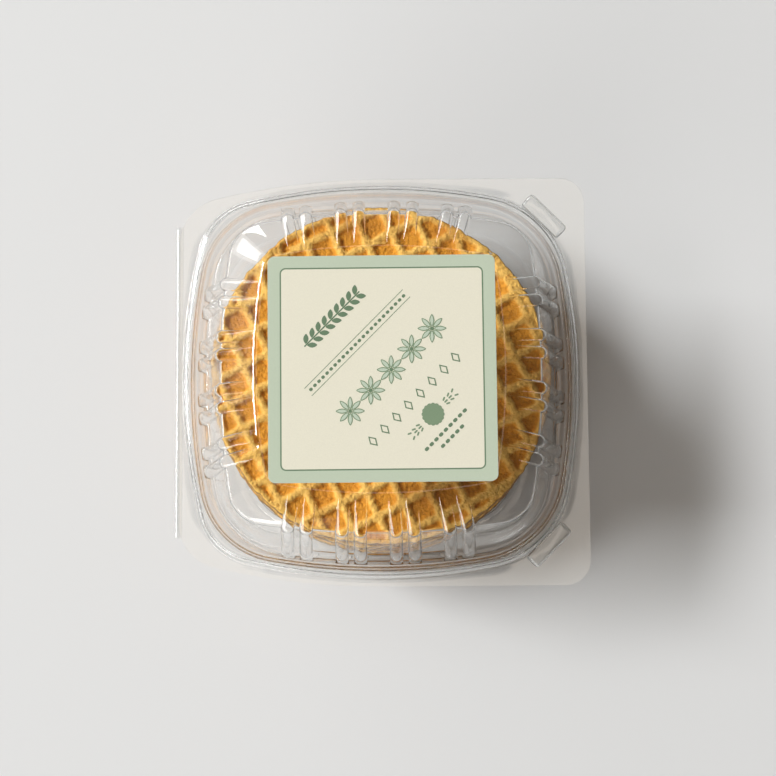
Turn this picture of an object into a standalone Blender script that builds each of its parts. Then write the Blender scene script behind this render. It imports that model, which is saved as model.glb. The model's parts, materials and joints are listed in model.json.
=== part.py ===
"""Clear hinged tub with a square paper label, holding a stack of pizzelle wafers.

Metres, +Z up.  The tub stands on the plane z = 0 with its middle on the Z axis.  Its hinge runs
along Y on the -X side, its two snap bars are on the +X corners, and the lid is shut.
"""
import math
import random
from collections import namedtuple

import bmesh
import bpy
from mathutils import Matrix, Vector

# Driving dimensions of the tub.
FLANGE_HALF_X = 0.0772      # middle to the flange's right edge, and to the back of the hinge
FLANGE_HALF_Y = 0.0768      # middle to the flange's front and back edges
PARTING_Z = 0.0380          # plane between the two flanges, and the hinge's axis
SHEET = 0.0006              # thickness of the plastic
GAP = 0.0003                # gap kept between pieces that touch
LID_RISE = 0.0351           # parting plane to the middle of the plastic on the lid's flat top
SLOPE_RISE = 0.0250         # parting plane to the crease between the lid's two slopes

# Vertical flutes in the walls of both halves: four pairs on each side.
FLUTE_PAIR_PITCH = 0.0194
FLUTE_IN_PAIR = 0.0066
FLUTE_HALF_WIDTH = 0.0027
FLUTE_CREST = 0.45          # part of a flute's half width that its flat crest takes
FLUTE_SHIFT_X = -0.0014     # the flutes of the front and back walls sit this far off the middle

# Hinge.
HINGE_BEAD = 0.00055        # radius of the moulded hinge bead
HINGE_HALF_LENGTH = 0.0585
HINGE_X = HINGE_BEAD - FLANGE_HALF_X
HINGE_EDGE_X = HINGE_X + HINGE_BEAD + GAP

# Snap bars across the two front corners of the lid's flange.
SNAP_LENGTH = 0.0184
SNAP_WIDTH = 0.0056
SNAP_RISE = 0.0032
SNAP_DIAGONAL = 0.0874      # middle of the tub to the middle of a bar, along the diagonal
SNAP_ROUND = 0.0007

# Paper label.
LABEL_SIDE = 0.0815
LABEL_CORNER = 0.0026
LABEL_THICKNESS = 0.0003
LABEL_SHIFT_X = 0.0005

# Stack of wafers.
WAFER_COUNT = 11
WAFER_RADIUS = 0.0639
WAFER_UNEVEN = 0.00022      # how far each wave of a wafer's edge goes in and out
WAFER_EDGE_STEPS = 32
RIM_ROUND = 0.0009
RIM_WIDTH = 0.0034          # plain raised rim outside the lattice
STACK_TOP_Z = PARTING_Z - 0.0004
STACK_LEAN_Y = 0.0008       # how far the stack leans towards the back
TOP_WAFER_X = -0.0002       # where the top wafer, which has slid on the stack, has its middle
TOP_WAFER_Y = 0.0020
WAFER_JITTER = 0.00025      # sideways unevenness of the lowest wafer
JITTER_GROWTH = 2.0         # and how much of that is added up to the top
LATTICE_PITCH = 0.0104
LATTICE_ANGLE = math.radians(26)
LATTICE_SHIFT = 0.0022      # a row of cells passes this far beside the wafer's middle
PIT_WALL = 0.0019           # sloping wall round the flat bottom of each pit
PIT_DEPTH = 0.0011
CREST_DROP = 0.00006        # the lattice's crests lie this far below the rim

CORNER_STEPS = 4
SIDE_STEPS = 4

# One level of a moulded half: half width at the middle of a side, height, radius of the bowed
# side, how far its corners reach along the diagonal at the hinge and in front, and the depth and
# spread of the flutes there.
Level = namedtuple("Level", "half z bow hinge_reach front_reach flute spread", defaults=(0, 1))

LID_MID = PARTING_Z + (SHEET + GAP) / 2
TRAY_MID = PARTING_Z - (SHEET + GAP) / 2
PANEL_Z = 0.0023

LID_DOME = [
    Level(0.0452, PARTING_Z + LID_RISE, 0.210, 0.0569, 0.0569, 0.0, 0.91),
    Level(0.0580, PARTING_Z + SLOPE_RISE, 0.290, 0.0721, 0.0721, 0.0024, 1.0),
    Level(0.0648, LID_MID, 0.260, 0.0770, 0.0770, 0.0031, 1.04),
]
LID_RIM = [
    Level(0.0694, LID_MID, 0.225, 0.0810, 0.0802),
    Level(0.0701, LID_MID + 0.00355, 0.224, 0.0817, 0.0809),
    Level(0.0736, LID_MID + 0.00355, 0.214, 0.0869, 0.0847),
    Level(0.0739, LID_MID, 0.215, 0.0872, 0.0850),
]
TRAY_FLOOR = [
    Level(0.0540, PANEL_Z, 0.230, 0.0640, 0.0640),
    Level(0.0560, SHEET / 2, 0.232, 0.0660, 0.0660),
]
TRAY_WALL = [
    Level(0.0632, SHEET / 2, 0.242, 0.0746, 0.0746),
    Level(0.0653, 0.0024, 0.243, 0.0766, 0.0766, 0.0014),
    Level(0.0673, 0.0310, 0.250, 0.0785, 0.0785, 0.0015),
    Level(0.0689, 0.0352, 0.225, 0.0805, 0.0797),
]
TRAY_RIM = [
    Level(0.0705, TRAY_MID - 0.0001, 0.226, 0.0821, 0.0813),
    Level(0.0711, TRAY_MID + 0.00335, 0.225, 0.0827, 0.0819),
    Level(0.0725, TRAY_MID + 0.00335, 0.213, 0.0858, 0.0836),
    Level(0.0728, TRAY_MID, 0.214, 0.0861, 0.0839),
]

# The flange's edge: square in front, and bowed towards the hinge.
FLANGE_FRONT_CORNER = 0.0094
FLANGE_HINGE_CORNER = 0.0180
FLANGE_BOW = 0.270


def remove_start_objects():
    for item in list(bpy.data.objects):
        bpy.data.objects.remove(item, do_unlink=True)


def make_material(name, colour, roughness, transmission=0.0, ior=1.5):
    material = bpy.data.materials.new(name)
    material.use_nodes = True
    shader = material.node_tree.nodes["Principled BSDF"]
    shader.inputs["Base Color"].default_value = (*colour, 1.0)
    shader.inputs["Roughness"].default_value = roughness
    shader.inputs["Metallic"].default_value = 0.0
    shader.inputs["Transmission Weight"].default_value = transmission
    shader.inputs["IOR"].default_value = ior
    return material


def make_object(name, mesh, material, parent=None):
    """Link a mesh made in world coordinates, with its origin at its parent's."""
    item = bpy.data.objects.new(name, mesh)
    bpy.context.collection.objects.link(item)
    mesh.materials.append(material)
    if parent is not None:
        mesh.transform(Matrix.Translation(-parent.location))
        item.parent = parent
    return item


def hide_guide(item):
    item.hide_render = True
    item.display_type = "WIRE"
    return item


def mesh_from(bm, name):
    bmesh.ops.recalc_face_normals(bm, faces=bm.faces)
    mesh = bpy.data.meshes.new(name)
    bm.to_mesh(mesh)
    bm.free()
    mesh.shade_smooth()
    mesh.set_sharp_from_angle(angle=math.radians(30))
    return mesh


def polar(radius, angle):
    return Vector((radius * math.cos(angle), radius * math.sin(angle)))


def corner_arc(half, bow, reach):
    """Radius of the round corner that is tangent to both bowed sides and reaches so far along
    the diagonal, where its centre lies, and how far a side's arc turns before it meets it."""
    back = half - bow
    beyond = bow - reach
    centre = (back ** 2 - beyond ** 2) / (2 * beyond + math.sqrt(2) * back)
    turn = math.atan2(centre, centre - math.sqrt(2) * back)
    return reach - centre, centre, turn


def flute_places(spread, shift):
    """Middles of the eight flutes along one side, in order."""
    places = []
    for pair in (-1.5, -0.5, 0.5, 1.5):
        for side in (-0.5, 0.5):
            places.append(spread * (pair * FLUTE_PAIR_PITCH + side * FLUTE_IN_PAIR) + shift)
    return places


def fluted_side(level, shift):
    """(turn along the side's arc, distance outwards) for the four points of each flute."""
    points = []
    for place in flute_places(level.spread, shift):
        middle = math.asin(place / level.bow)
        half_turn = FLUTE_HALF_WIDTH / level.bow
        for part, depth in ((-1, 0), (-FLUTE_CREST, 1), (FLUTE_CREST, 1), (1, 0)):
            points.append((middle + part * half_turn, depth * level.flute))
    return points


def bowed_square(level, fluted):
    """Outline of one level: four bowed sides and four round corners, anticlockwise from +X."""
    reaches = (level.front_reach, level.hinge_reach, level.hinge_reach, level.front_reach)
    corners = [corner_arc(level.half, level.bow, reach) for reach in reaches]
    shifts = (0, -FLUTE_SHIFT_X, 0, FLUTE_SHIFT_X)
    ring = []
    for side, (radius, centre, turn) in enumerate(corners):
        facing = side * math.pi / 2
        side_centre = polar(level.half - level.bow, facing)
        start = -corners[side - 1][2]
        if fluted:
            turns = fluted_side(level, shifts[side])
        else:
            turns = [(start + (turn - start) * i / SIDE_STEPS, 0) for i in range(1, SIDE_STEPS)]
        ring += [side_centre + polar(level.bow + out, facing + along) for along, out in turns]
        corner_centre = polar(centre, facing + math.pi / 4)
        for i in range(CORNER_STEPS + 1):
            angle = facing + turn + (math.pi / 2 - 2 * turn) * i / CORNER_STEPS
            ring.append(corner_centre + polar(radius, angle))
    return [Vector((p.x, p.y, level.z)) for p in ring]


def arc_points(centre, radius, start, end, steps):
    """Points on an arc, both ends included, angles in degrees."""
    return [Vector(centre) + polar(radius, math.radians(start + (end - start) * i / steps))
            for i in range(steps + 1)]


def flange_outline(z):
    """The flange's edge: straight at the hinge and in front, bowed on its hinge half."""
    front_x = FLANGE_HALF_X - FLANGE_FRONT_CORNER
    front_y = FLANGE_HALF_Y - FLANGE_FRONT_CORNER
    bow_y = FLANGE_HALF_Y - FLANGE_BOW
    hinge_x = HINGE_EDGE_X + FLANGE_HINGE_CORNER
    hinge_y = bow_y + math.sqrt((FLANGE_BOW - FLANGE_HINGE_CORNER) ** 2 - hinge_x ** 2)
    meet = math.degrees(math.atan2(hinge_y - bow_y, hinge_x))
    back = arc_points((front_x, front_y), FLANGE_FRONT_CORNER, 0, 90, CORNER_STEPS)
    back += arc_points((0, bow_y), FLANGE_BOW, 90, meet, SIDE_STEPS)
    back += arc_points((hinge_x, hinge_y), FLANGE_HINGE_CORNER, meet, 180, CORNER_STEPS)[1:]
    front = [Vector((p.x, -p.y)) for p in reversed(back)]
    return [Vector((p.x, p.y, z)) for p in back + front]


def add_ring(bm, points):
    """A closed loop of vertices and edges."""
    verts = [bm.verts.new(point) for point in points]
    edges = [bm.edges.new((verts[i - 1], verts[i])) for i in range(len(verts))]
    return verts, edges


def join_rings(bm, inner, outer):
    """Rings of one count are joined point to point.  A fluted ring has more points than a plain
    one, and the strip between them is filled with triangles."""
    if len(inner[0]) != len(outer[0]):
        bmesh.ops.triangle_fill(bm, edges=inner[1] + outer[1], use_beauty=True, normal=(0, 0, 1))
        return
    for i in range(len(inner[0])):
        bm.faces.new((inner[0][i - 1], inner[0][i], outer[0][i], outer[0][i - 1]))


def loft(rings, name):
    """One open sheet: the first ring is capped, and each ring is joined to the next."""
    bm = bmesh.new()
    loops = [add_ring(bm, ring) for ring in rings]
    bm.faces.new(loops[0][0])
    for inner, outer in zip(loops, loops[1:]):
        join_rings(bm, inner, outer)
    return mesh_from(bm, name)


def thicken(item):
    solidify = item.modifiers.new("sheet", "SOLIDIFY")
    solidify.solidify_mode = "NON_MANIFOLD"
    solidify.nonmanifold_thickness_mode = "CONSTRAINTS"
    solidify.nonmanifold_merge_threshold = SHEET / 100
    solidify.thickness = SHEET
    solidify.offset = 0


def make_tray(plastic):
    rings = [bowed_square(level, fluted=False) for level in TRAY_FLOOR]
    rings += [bowed_square(level, fluted=True) for level in TRAY_WALL]
    rings += [bowed_square(level, fluted=False) for level in TRAY_RIM]
    rings.append(flange_outline(TRAY_MID))
    tray = make_object("tray", loft(rings, "tray"), plastic)
    thicken(tray)
    return tray


def make_snap_bar(side, plastic, parent):
    """A solid bar across a front corner, as a guide for a union with the lid."""
    bm = bmesh.new()
    size = Matrix.Diagonal((SNAP_WIDTH, SNAP_LENGTH, SNAP_RISE, 1))
    bmesh.ops.create_cube(bm, size=1, matrix=size)
    top = [edge for edge in bm.edges if all(v.co.z > 0 for v in edge.verts)]
    upright = [edge for edge in bm.edges if edge.verts[0].co.z * edge.verts[1].co.z < 0]
    bmesh.ops.bevel(bm, geom=top + upright, offset=SNAP_ROUND, segments=1, profile=0.5,
                    affect="EDGES", material=-1)
    angle = side * math.pi / 4
    place = polar(SNAP_DIAGONAL, angle).to_3d()
    place.z = LID_MID + SNAP_RISE / 2
    bmesh.ops.transform(bm, verts=bm.verts,
                        matrix=Matrix.Translation(place) @ Matrix.Rotation(angle, 4, "Z"))
    name = "snap_bar_guide_back" if side > 0 else "snap_bar_guide_front"
    return hide_guide(make_object(name, mesh_from(bm, "snap_bar"), plastic, parent))


def make_lid(plastic, hinge):
    rings = [bowed_square(level, fluted=True) for level in LID_DOME]
    rings += [bowed_square(level, fluted=False) for level in LID_RIM]
    rings.append(flange_outline(LID_MID))
    lid = make_object("lid", loft(rings, "lid"), plastic, hinge)
    thicken(lid)
    for side in (1, -1):
        union = lid.modifiers.new("snap_bar", "BOOLEAN")
        union.operation = "UNION"
        union.solver = "EXACT"
        union.object = make_snap_bar(side, plastic, hinge)
    return lid


def make_hinge_strip(plastic):
    """The moulded bead that joins the two flanges, along the hinge's axis."""
    bm = bmesh.new()
    bmesh.ops.create_cone(bm, cap_ends=True, segments=12, radius1=HINGE_BEAD, radius2=HINGE_BEAD,
                          depth=2 * HINGE_HALF_LENGTH, matrix=Matrix.Rotation(math.pi / 2, 4, "X"))
    bmesh.ops.translate(bm, verts=bm.verts, vec=(HINGE_X, 0, PARTING_Z))
    return make_object("hinge_strip", mesh_from(bm, "hinge_strip"), plastic)


def make_label(paper, hinge):
    bottom = PARTING_Z + LID_RISE + SHEET / 2 + GAP
    inner = LABEL_SIDE / 2 - LABEL_CORNER
    bm = bmesh.new()
    outline = []
    for side in range(4):
        centre = polar(inner * math.sqrt(2), math.pi / 4 + side * math.pi / 2)
        outline += arc_points(centre, LABEL_CORNER, 90 * side, 90 * side + 90, CORNER_STEPS)
    verts = [bm.verts.new((p.x + LABEL_SHIFT_X, p.y, bottom)) for p in outline]
    grown = bmesh.ops.extrude_face_region(bm, geom=[bm.faces.new(verts)])["geom"]
    top = [item for item in grown if isinstance(item, bmesh.types.BMVert)]
    bmesh.ops.translate(bm, verts=top, vec=(0, 0, LABEL_THICKNESS))
    return make_object("label", mesh_from(bm, "label"), paper, hinge)


def wafer_edge(seed, inset, z):
    """An uneven round outline, the same for each ring of one wafer."""
    waves = random.Random(seed)
    phases = [(count, waves.uniform(0, 2 * math.pi)) for count in (2, 3, 5)]
    ring = []
    for i in range(WAFER_EDGE_STEPS):
        angle = 2 * math.pi * i / WAFER_EDGE_STEPS
        radius = WAFER_RADIUS - inset
        radius += sum(WAFER_UNEVEN * math.cos(count * angle + phase) for count, phase in phases)
        point = polar(radius, angle)
        ring.append(Vector((point.x, point.y, z)))
    return ring


def wafer_blank(seed, thickness):
    """A disc with an uneven, rounded edge, its underside on z = 0."""
    bm = bmesh.new()
    sections = ((RIM_ROUND, 0), (0, thickness / 2), (RIM_ROUND, thickness))
    loops = [add_ring(bm, wafer_edge(seed, inset, z)) for inset, z in sections]
    bm.faces.new(loops[0][0])
    bm.faces.new(loops[-1][0])
    for lower, upper in zip(loops, loops[1:]):
        join_rings(bm, lower, upper)
    return mesh_from(bm, "pizzella")


def lattice_cutter(wafer, thickness, material):
    """The pits of the top wafer: a block whose underside bulges into every cell of the lattice,
    kept inside the plain rim."""
    cells = math.ceil(WAFER_RADIUS / LATTICE_PITCH) + 1
    bm = bmesh.new()
    bmesh.ops.create_grid(bm, x_segments=2 * cells, y_segments=2 * cells,
                          size=cells * LATTICE_PITCH)
    bmesh.ops.translate(bm, verts=bm.verts, vec=(LATTICE_PITCH / 2 + LATTICE_SHIFT,
                                                 LATTICE_PITCH / 2, thickness - CREST_DROP))
    bmesh.ops.rotate(bm, verts=bm.verts, cent=(0, 0, 0), matrix=Matrix.Rotation(LATTICE_ANGLE, 3, "Z"))
    edge = [e for e in bm.edges if e.is_boundary]
    bmesh.ops.inset_individual(bm, faces=bm.faces, thickness=PIT_WALL, depth=-PIT_DEPTH)
    walls = bmesh.ops.extrude_edge_only(bm, edges=edge)["geom"]
    lifted = [item for item in walls if isinstance(item, bmesh.types.BMVert)]
    bmesh.ops.translate(bm, verts=lifted, vec=(0, 0, 2 * thickness))
    bmesh.ops.holes_fill(bm, edges=[e for e in bm.edges if e.is_boundary])
    cutter = hide_guide(make_object("lattice_guide", mesh_from(bm, "lattice"), material))
    bm = bmesh.new()
    inner = WAFER_RADIUS - RIM_WIDTH
    bmesh.ops.create_cone(bm, cap_ends=True, segments=WAFER_EDGE_STEPS, radius1=inner,
                          radius2=inner, depth=4 * thickness)
    field = hide_guide(make_object("lattice_field_guide", mesh_from(bm, "field"), material))
    keep = cutter.modifiers.new("inside_rim", "BOOLEAN")
    keep.operation = "INTERSECT"
    keep.solver = "EXACT"
    keep.object = field
    cutter.parent = wafer
    field.parent = wafer
    return cutter


def make_stack(crumb):
    """The wafers, each a little out of line with the one below."""
    bottom = PANEL_Z + SHEET / 2 + GAP
    pitch = (STACK_TOP_Z + GAP - bottom) / WAFER_COUNT
    thickness = pitch - GAP
    shifts = random.Random(7)
    for number in range(1, WAFER_COUNT + 1):
        lean = (number - 1) / (WAFER_COUNT - 1)
        jitter = WAFER_JITTER * (1 + JITTER_GROWTH * lean)
        place = Vector((shifts.uniform(-jitter, jitter), shifts.uniform(-jitter, jitter), 0))
        place.y += STACK_LEAN_Y * lean
        if number == WAFER_COUNT:
            place = Vector((TOP_WAFER_X, TOP_WAFER_Y, 0))
        place.z = bottom + pitch * (number - 1)
        wafer = make_object(f"pizzella_{number:02d}", wafer_blank(number, thickness), crumb)
        wafer.location = place
    cut = wafer.modifiers.new("pits", "BOOLEAN")
    cut.operation = "DIFFERENCE"
    cut.solver = "EXACT"
    cut.object = lattice_cutter(wafer, thickness, crumb)


def build():
    remove_start_objects()
    plastic = make_material("clear_plastic", (0.95, 0.96, 0.95), 0.04, transmission=1.0, ior=1.57)
    paper = make_material("label_paper", (0.80, 0.78, 0.64), 0.45)
    crumb = make_material("wafer", (0.66, 0.38, 0.13), 0.70)
    hinge = bpy.data.objects.new("hinge_axis", None)
    hinge.location = (HINGE_X, 0, PARTING_Z)
    bpy.context.collection.objects.link(hinge)
    make_tray(plastic)
    make_hinge_strip(plastic)
    make_lid(plastic, hinge)
    make_label(paper, hinge)
    make_stack(crumb)


build()
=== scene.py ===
# %% [markdown]
# A clear hinged tub of pizzelle, the thin Italian wafers baked in a patterned iron.
# The tub is thermoformed: a warm sheet of clear plastic is sucked onto a mould, so tray and lid
# are thin skins of one thickness, stiffened by flutes, a raised bead and rounded creases.
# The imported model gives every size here, so the first cell loads it and measures it.

# %% Load the frame
import json
import math
import random
from collections import namedtuple

import bmesh
import bpy
import numpy as np
from mathutils import Matrix, Vector, noise


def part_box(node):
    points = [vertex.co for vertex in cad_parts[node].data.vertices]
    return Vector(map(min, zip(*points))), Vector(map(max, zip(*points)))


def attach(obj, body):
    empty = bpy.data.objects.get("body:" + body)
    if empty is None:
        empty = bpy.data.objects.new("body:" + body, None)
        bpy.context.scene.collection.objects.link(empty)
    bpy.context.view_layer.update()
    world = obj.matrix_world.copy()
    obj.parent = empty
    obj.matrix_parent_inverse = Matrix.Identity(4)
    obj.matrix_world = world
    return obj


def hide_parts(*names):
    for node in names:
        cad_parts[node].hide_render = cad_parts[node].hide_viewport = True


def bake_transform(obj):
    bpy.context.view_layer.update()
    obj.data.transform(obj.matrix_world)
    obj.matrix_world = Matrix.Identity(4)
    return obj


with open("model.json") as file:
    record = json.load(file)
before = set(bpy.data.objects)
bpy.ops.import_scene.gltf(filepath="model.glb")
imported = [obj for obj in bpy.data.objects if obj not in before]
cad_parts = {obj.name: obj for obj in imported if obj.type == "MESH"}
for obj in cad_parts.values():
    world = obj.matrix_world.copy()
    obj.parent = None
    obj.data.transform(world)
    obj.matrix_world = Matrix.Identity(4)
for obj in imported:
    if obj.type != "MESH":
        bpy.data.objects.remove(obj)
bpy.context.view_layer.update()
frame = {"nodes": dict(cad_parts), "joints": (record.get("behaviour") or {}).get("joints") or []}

LID_LOW, LID_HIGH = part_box("lid")
LABEL_LOW, LABEL_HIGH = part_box("label")
HINGE = Vector(frame["joints"][0]["pos_m"])
WAFER_NODES = sorted(name for name in frame["nodes"] if name.startswith("pizzella"))

# %% [markdown]
# The two flanges lie almost face to face on the parting plane, which is also where the hinge
# turns. The solids are 0.6 mm thick so that they can be made; a real sheet is about half of
# that, and is drawn 0.3 mm thick here. A few sizes of the mould are named once and used by both
# halves.

# %% Sizes of the moulded halves
PARTING_Z = HINGE.z
SHEET = 0.0003
SOLID_SHEET = 0.0006
LID_MID = LID_LOW.z + SOLID_SHEET / 2
TRAY_MID = 2 * PARTING_Z - LID_MID
LID_TOP = LID_HIGH.z - SHEET / 2
FRONT_X = LID_HIGH.x
HALF_Y = LID_HIGH.y
HINGE_EDGE_X = LID_LOW.x

FLUTE_PAIR_PITCH = 0.0194
FLUTE_IN_PAIR = 0.0066
FLUTE_HALF_WIDTH = 0.0023
FLUTE_SHIFT_X = -0.0014
FLUTE_STEPS = (-1.12, -1, -0.94, -0.82, -0.64, -0.42, -0.2, 0,
               0.2, 0.42, 0.64, 0.82, 0.94, 1, 1.12)
FLUTE_ROUND = 0.55
FLUTE_PAIRS = (-1.5, -0.5, 0.5, 1.5)
PLAIN_STEPS = 3
CORNER_STEPS = 17
print("parting plane at", round(PARTING_Z * 1000, 2), "mm")

# %% [markdown]
# Seen from above, every level of the mould is the same kind of outline: four gently bowed sides
# joined by round corners. One function makes it for any half width, bow and corner reach. The
# flutes are half-round swellings of that outline, so a wall between two levels gets its flutes
# simply because the outlines that it joins have them.

# %% Outline of one level
# half: middle to side. bow: radius of a side. reach: middle to corner. flute: depth of a flute.
# spread: how far apart the flutes are. fillet: length cut off a crease on each side.
Level = namedtuple("Level", "half z bow hinge_reach front_reach flute spread fillet",
                   defaults=(0, 1.04, 0.0006))


def polar(radius, angle):
    return np.array((radius * math.cos(angle), radius * math.sin(angle)))


def corner_arc(half, bow, reach):
    """Radius and centre of the round corner between two bowed sides, and a side's half turn."""
    back = half - bow
    beyond = bow - reach
    centre = (back ** 2 - beyond ** 2) / (2 * beyond + math.sqrt(2) * back)
    return reach - centre, centre, math.atan2(centre, centre - math.sqrt(2) * back)


def side_places(spread, shift):
    """(distance along a side, part of a flute's depth) for every point of one side."""
    places = []
    for pair in FLUTE_PAIRS:
        for side in (-0.5, 0.5):
            middle = pair * FLUTE_PAIR_PITCH + side * FLUTE_IN_PAIR
            for step in FLUTE_STEPS:
                swell = max(1 - step * step, 0) ** FLUTE_ROUND
                places.append((spread * (middle + step * FLUTE_HALF_WIDTH) + shift, swell))
        if pair < FLUTE_PAIRS[-1]:
            gap = FLUTE_PAIR_PITCH - FLUTE_IN_PAIR
            start = pair * FLUTE_PAIR_PITCH + FLUTE_IN_PAIR / 2
            for i in range(1, PLAIN_STEPS + 1):
                margin = FLUTE_STEPS[-1] * FLUTE_HALF_WIDTH
                along = margin + (gap - 2 * margin) * i / (PLAIN_STEPS + 1)
                places.append((spread * (start + along) + shift, 0))
    return places


def outline(level):
    """Points of one level, anticlockwise from the front side, always the same number."""
    reaches = (level.front_reach, level.hinge_reach, level.hinge_reach, level.front_reach)
    shifts = (0, -FLUTE_SHIFT_X, 0, FLUTE_SHIFT_X)
    corners = [corner_arc(level.half, level.bow, reach) for reach in reaches]

    def point(side, along, swell=0):
        """The point this far along the outline from the middle of a side."""
        sign = 1 if along > 0 else -1
        radius, centre, turn = corners[side if along > 0 else side - 1]
        facing = side * math.pi / 2
        beyond = abs(along) - level.bow * turn
        if beyond <= 0:
            angle = facing + along / level.bow
            return polar(level.half - level.bow, facing) + polar(level.bow + swell, angle)
        angle = facing + sign * (turn + beyond / radius)
        return polar(centre, facing + sign * math.pi / 4) + polar(radius + swell, angle)

    points = []
    for side, (radius, centre, turn) in enumerate(corners):
        places = side_places(level.spread, shifts[side])
        points += [point(side, along, swell * level.flute) for along, swell in places]
        following = (side + 1) % 4
        first = side_places(level.spread, shifts[following])[0][0]
        middle = level.bow * turn + radius * (math.pi / 4 - turn)
        for along in np.linspace(places[-1][0], middle, CORNER_STEPS)[1:]:
            points.append(point(side, along))
        for along in np.linspace(-middle, first, CORNER_STEPS)[1:-1]:
            points.append(point(following, along))
    return np.array([(x, y, level.z) for x, y in points])


print("points in one outline:", len(outline(Level(0.06, 0, 0.25, 0.073, 0.073))))

# %% [markdown]
# A thermoformed crease is never sharp: the sheet bends over a radius. Each crease between two
# slopes is replaced by a short curve, worked out point by point along the outline.

# %% Rounded creases
CREASE_STEPS = 4
FARTHEST_CUT = 0.45


def towards(start, end, distance):
    """Points this far along the way from start to end, but never as far as its middle."""
    way = end - start
    length = np.linalg.norm(way, axis=1, keepdims=True)
    return start + way * np.minimum(distance / np.maximum(length, 1e-9), FARTHEST_CUT)


def rounded(rings, fillets):
    """The rings of a profile, with every crease but the first and last rounded off."""
    result = [rings[0]]
    for i in range(1, len(rings) - 1):
        into = towards(rings[i], rings[i - 1], fillets[i])
        out = towards(rings[i], rings[i + 1], fillets[i])
        for step in range(CREASE_STEPS + 1):
            t = step / CREASE_STEPS
            result.append((1 - t) ** 2 * into + 2 * t * (1 - t) * rings[i] + t ** 2 * out)
    result.append(rings[-1])
    return result


print("each crease becomes", CREASE_STEPS + 1, "outlines")

# %% [markdown]
# The flange is flat and nearly square: straight at the hinge and in front, with small round
# front corners, and bowed where it narrows towards the hinge. Its edge has to match the bead's
# points one to one, so it is read off at the same angles round the middle.

# %% The flange's edge
FLANGE_FRONT_CORNER = 0.0094
FLANGE_HINGE_CORNER = 0.0180
FLANGE_BOW = 0.270
FLANGE_STEPS = 40


def arc_points(centre, radius, start, end, steps):
    """Points on an arc, both ends included, angles in degrees."""
    return [np.array(centre) + polar(radius, math.radians(start + (end - start) * i / steps))
            for i in range(steps + 1)]


def flange_edge(like, z):
    """The edge at height z, with one point in the direction of each point of another outline."""
    front_x, front_y = FRONT_X - FLANGE_FRONT_CORNER, HALF_Y - FLANGE_FRONT_CORNER
    bow_y = HALF_Y - FLANGE_BOW
    hinge_x = HINGE_EDGE_X + FLANGE_HINGE_CORNER
    hinge_y = bow_y + math.sqrt((FLANGE_BOW - FLANGE_HINGE_CORNER) ** 2 - hinge_x ** 2)
    meet = math.degrees(math.atan2(hinge_y - bow_y, hinge_x))
    back = arc_points((front_x, front_y), FLANGE_FRONT_CORNER, 0, 90, FLANGE_STEPS)
    back += arc_points((0, bow_y), FLANGE_BOW, 90, meet, FLANGE_STEPS)
    back += arc_points((hinge_x, hinge_y), FLANGE_HINGE_CORNER, meet, 180, FLANGE_STEPS)[1:]
    edge = np.array(back + [p * (1, -1) for p in reversed(back)])
    edge = np.vstack([edge, edge[:1]])
    points = []
    for x, y, _ in like:
        ray = np.array((x, y))
        side = edge[:, 0] * y - edge[:, 1] * x
        ahead = edge @ ray > 0
        for a, b in zip(np.flatnonzero(ahead[:-1]), np.flatnonzero(ahead[:-1]) + 1):
            if side[a] * side[b] <= 0:
                t = side[a] / (side[a] - side[b]) if side[a] != side[b] else 0
                points.append((*(edge[a] + (edge[b] - edge[a]) * t), z))
                break
    return np.array(points)


print("flange:", round((FRONT_X - HINGE_EDGE_X) * 1000, 1), "by", round(HALF_Y * 2000, 1), "mm")

# %% [markdown]
# One helper turns a list of outlines into a mesh. The first outline becomes a face, its edge is
# extruded, and the new vertices slide to the next outline. Each vertex carries its place round
# the outline in a layer, so it always finds its own point.

# %% Extrude from outline to outline
SHARP_ANGLE = 40


def loft(rings, bands=None, close=False):
    """A bmesh from rings of one length. bands gives each strip's material, the cap's first."""
    bm = bmesh.new()
    place = bm.verts.layers.int.new("place")
    verts = [bm.verts.new(point) for point in rings[0]]
    for i, vert in enumerate(verts):
        vert[place] = i
    cap = bm.faces.new(verts)
    cap.material_index = bands[0] if bands else 0
    edges = list(cap.edges)
    for number, ring in enumerate(rings[1:], 1):
        grown = bmesh.ops.extrude_edge_only(bm, edges=edges)["geom"]
        new = {item for item in grown if isinstance(item, bmesh.types.BMVert)}
        for vert in new:
            vert.co = ring[vert[place]]
        edges = [e for e in grown if isinstance(e, bmesh.types.BMEdge)
                 and e.verts[0] in new and e.verts[1] in new]
        for edge in edges:
            for face in edge.link_faces:
                face.material_index = bands[number] if bands else 0
    if close:
        last = bmesh.ops.holes_fill(bm, edges=edges)["faces"]
        for face in last:
            face.material_index = bands[-1] if bands else 0
    bm.verts.layers.int.remove(place)
    return bm


def mesh_from(bm, name, sharp=SHARP_ANGLE):
    """A mesh with its faces outwards, smooth up to this many degrees between two faces."""
    bmesh.ops.recalc_face_normals(bm, faces=bm.faces)
    mesh = bpy.data.meshes.new(name)
    bm.to_mesh(mesh)
    bm.free()
    mesh.shade_smooth()
    mesh.set_sharp_from_angle(angle=math.radians(sharp))
    return mesh


def add_piece(name, mesh, materials, body, nodes=()):
    """Link a finished mesh, at the origin, and tie it to the frame."""
    piece = bpy.data.objects.new(name, mesh)
    bpy.context.collection.objects.link(piece)
    for material in materials:
        mesh.materials.append(material)
    if body:
        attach(piece, body)
    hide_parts(*nodes)
    print(name, len(mesh.polygons), "faces")
    return piece


# %% [markdown]
# Thickness comes last. The Solidify modifier with an even offset keeps the sheet the same across
# creases and flutes. It is applied at once, so that the edge of the finished sheet can be
# marked sharp.

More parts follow.
